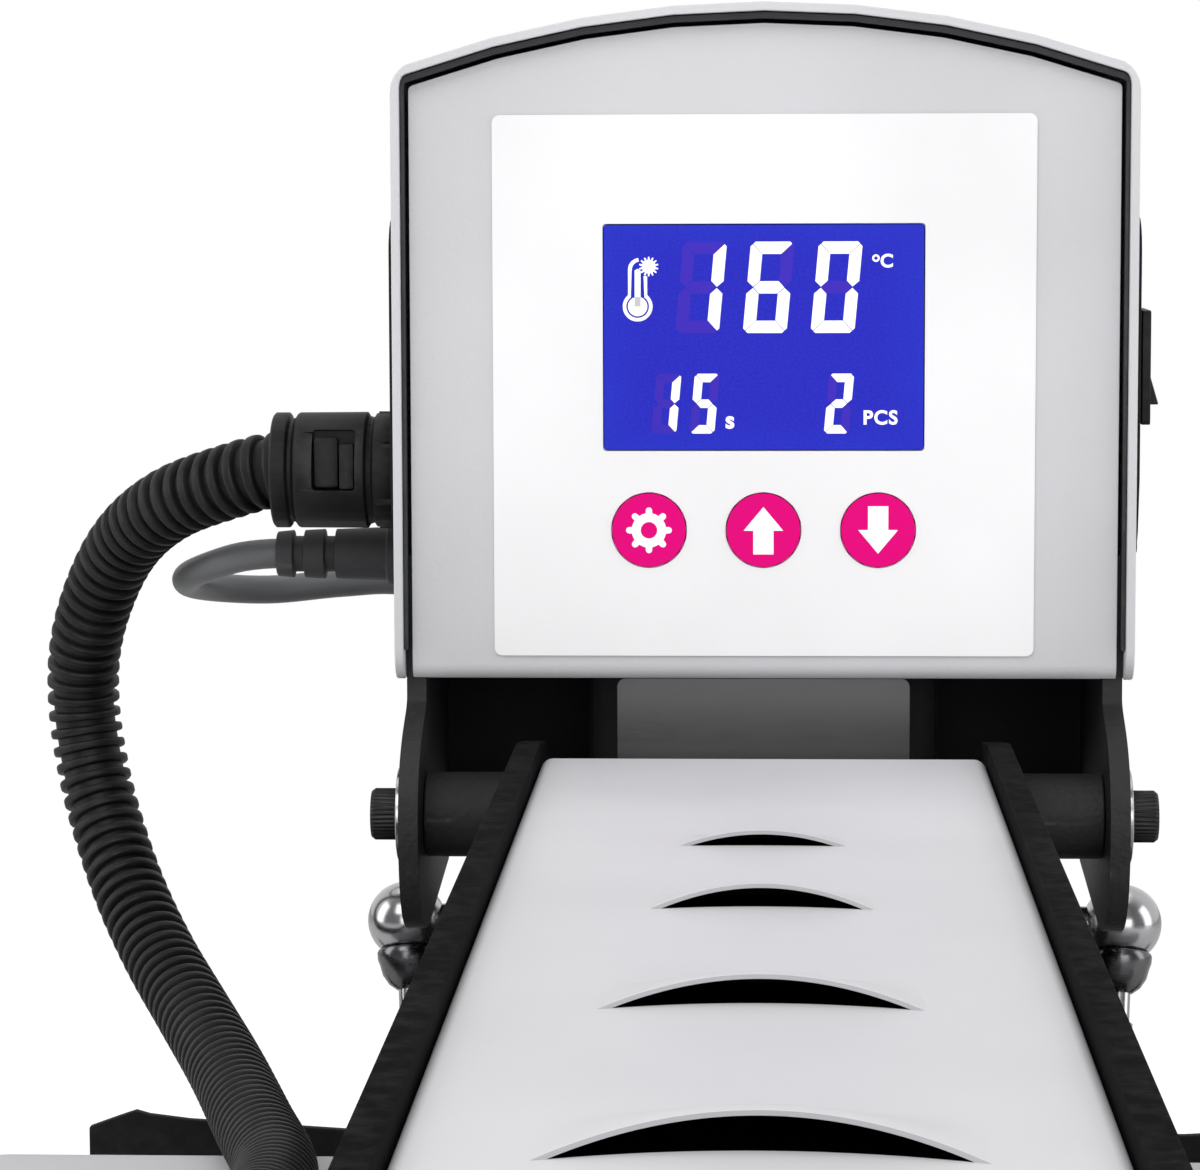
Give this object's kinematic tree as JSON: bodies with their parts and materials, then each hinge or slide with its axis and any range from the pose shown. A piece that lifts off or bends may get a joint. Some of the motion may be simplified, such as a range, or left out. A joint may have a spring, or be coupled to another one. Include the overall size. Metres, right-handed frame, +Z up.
{
  "type": "flat heat press",
  "caption": "Clamshell flat heat press: arched control head on a column, louvred parallel lift arms, square heating platen over a padded lower platen.",
  "frame": {"origin": "middle of the press's outline at bench level, cords left out", "axes": "+X to the user's right, +Y from the handle to the column, +Z up"},
  "size_m": [0.4, 0.875, 0.4634],
  "materials": {
    "black_steel": "black fine-textured powder coat on steel",
    "grey_paint": "light grey fine-textured powder coat on sheet steel",
    "charcoal_trim": "matt charcoal edge trim",
    "label_white": "satin white membrane film",
    "lcd_blue": "blue lit display window",
    "key_magenta": "magenta printed key caps",
    "black_plastic": "moulded black polyamide",
    "conduit_black": "black corrugated polyamide conduit",
    "grey_pvc": "grey flexible PVC",
    "chrome_steel": "bright chrome plate",
    "black_oxide": "black oxide on alloy steel",
    "zinc_steel": "zinc-plated steel",
    "cast_aluminium": "machined cast aluminium",
    "silicone": "red-brown silicone sponge",
    "mineral_fibre": "off-white mineral fibre",
    "board_green": "green solder mask",
    "rubber_black": "black rubber and foam"
  },
  "bodies": {
    "base": {"base_frame": "black_steel", "column": "black_steel", "back_plate": "black_steel", "ear_left": "black_steel", "ear_right": "black_steel", "shaft_spacer_left": "black_steel", "shaft_spacer_right": "black_steel", "head_back": "black_steel", "side_plate_left": "black_steel", "side_plate_right": "black_steel", "hood": "grey_paint", "front_panel": "grey_paint", "head_liner": "charcoal_trim", "membrane_label": "label_white", "display_module": "lcd_blue", "conduit_gland": "black_plastic", "strain_relief": "black_plastic", "switch_body": "black_plastic", "conduit_hose": "conduit_black", "power_cord": "grey_pvc", "power_cord_coil": "grey_pvc", "mains_plug": "grey_pvc", "ear_washer_left": "chrome_steel", "ear_washer_right": "chrome_steel", "ear_bolt_left": "black_oxide", "ear_bolt_right": "black_oxide", "pivot_shaft": "zinc_steel", "electromagnet": "zinc_steel", "lower_platen": "cast_aluminium", "silicone_pad": "silicone", "control_board": "board_green", "foot_front_left": "rubber_black", "foot_front_right": "rubber_black", "foot_rear_left": "rubber_black", "foot_rear_right": "rubber_black"},
    "arm": {"arm_frame": "black_steel", "arm_cover": "grey_paint", "handle_bar": "zinc_steel", "handle_grip": "rubber_black", "ball_stud_left": "chrome_steel", "ball_stud_right": "chrome_steel", "platen_cover": "grey_paint", "heating_platen": "cast_aluminium", "platen_insulation": "mineral_fibre", "terminal_box": "black_steel", "terminal_gland": "black_plastic"},
    "striker": {"striker_plate": "zinc_steel"},
    "knob": {"pressure_knob": "black_plastic"},
    "set_key": {"key_set": "key_magenta"},
    "up_key": {"key_up": "key_magenta"},
    "down_key": {"key_down": "key_magenta"},
    "rocker": {"rocker_key": "black_plastic"},
    "left_tube": {"strut_tube_left": "black_steel"},
    "right_tube": {"strut_tube_right": "black_steel"},
    "left_rod": {"strut_rod_left": "chrome_steel"},
    "right_rod": {"strut_rod_right": "chrome_steel"}
  },
  "joints": [
    {"name": "arm_open", "type": "hinge", "parent": "base", "child": "arm", "pos_m": [0, 0.2375, 0.2585], "axis": [-1, 0, 0], "range_deg": [0, 40], "deforming": ["conduit_hose"]},
    {"name": "left_strut_swing", "type": "hinge", "parent": "base", "child": "left_tube", "pos_m": [-0.087, 0.2375, 0.075], "axis": [1, 0, 0], "range_deg": [0, 11]},
    {"name": "left_ball_joint", "type": "hinge", "parent": "arm", "child": "left_rod", "pos_m": [-0.095, 0.2925, 0.2205], "axis": [1, 0, 0], "range_deg": [0, 51]},
    {"name": "right_strut_swing", "type": "hinge", "parent": "base", "child": "right_tube", "pos_m": [0.087, 0.2375, 0.075], "axis": [1, 0, 0], "range_deg": [0, 11]},
    {"name": "right_ball_joint", "type": "hinge", "parent": "arm", "child": "right_rod", "pos_m": [0.095, 0.2925, 0.2205], "axis": [1, 0, 0], "range_deg": [0, 51]},
    {"name": "pressure_turn", "type": "hinge", "parent": "arm", "child": "knob", "pos_m": [0, -0.2745, 0.283], "axis": [0, 0, 1], "range_deg": [0, 1080]},
    {"name": "striker_lift", "type": "slide", "parent": "arm", "child": "striker", "axis": [0, 0, 1], "range_m": [0, 0.006]},
    {"name": "rocker_tip", "type": "hinge", "parent": "base", "child": "rocker", "pos_m": [0.0988, 0.2725, 0.371], "axis": [0, 1, 0], "range_deg": [0, 16]},
    {"name": "set_key_press", "type": "slide", "parent": "base", "child": "set_key", "axis": [0, 1, 0], "range_m": [0, 0.0004], "stiffness_N_per_m": 1500},
    {"name": "up_key_press", "type": "slide", "parent": "base", "child": "up_key", "axis": [0, 1, 0], "range_m": [0, 0.0004], "stiffness_N_per_m": 1500},
    {"name": "down_key_press", "type": "slide", "parent": "base", "child": "down_key", "axis": [0, 1, 0], "range_m": [0, 0.0004], "stiffness_N_per_m": 1500}
  ],
  "couplings": [
    {"joint": "left_strut_swing", "follows": "arm_open", "ratio": 0.2708},
    {"joint": "left_ball_joint", "follows": "arm_open", "ratio": 1.2708},
    {"joint": "right_strut_swing", "follows": "arm_open", "ratio": 0.2708},
    {"joint": "right_ball_joint", "follows": "arm_open", "ratio": 1.2708},
    {"joint": "pressure_turn", "follows": "striker_lift", "rad_per_m": 3141.6}
  ]
}
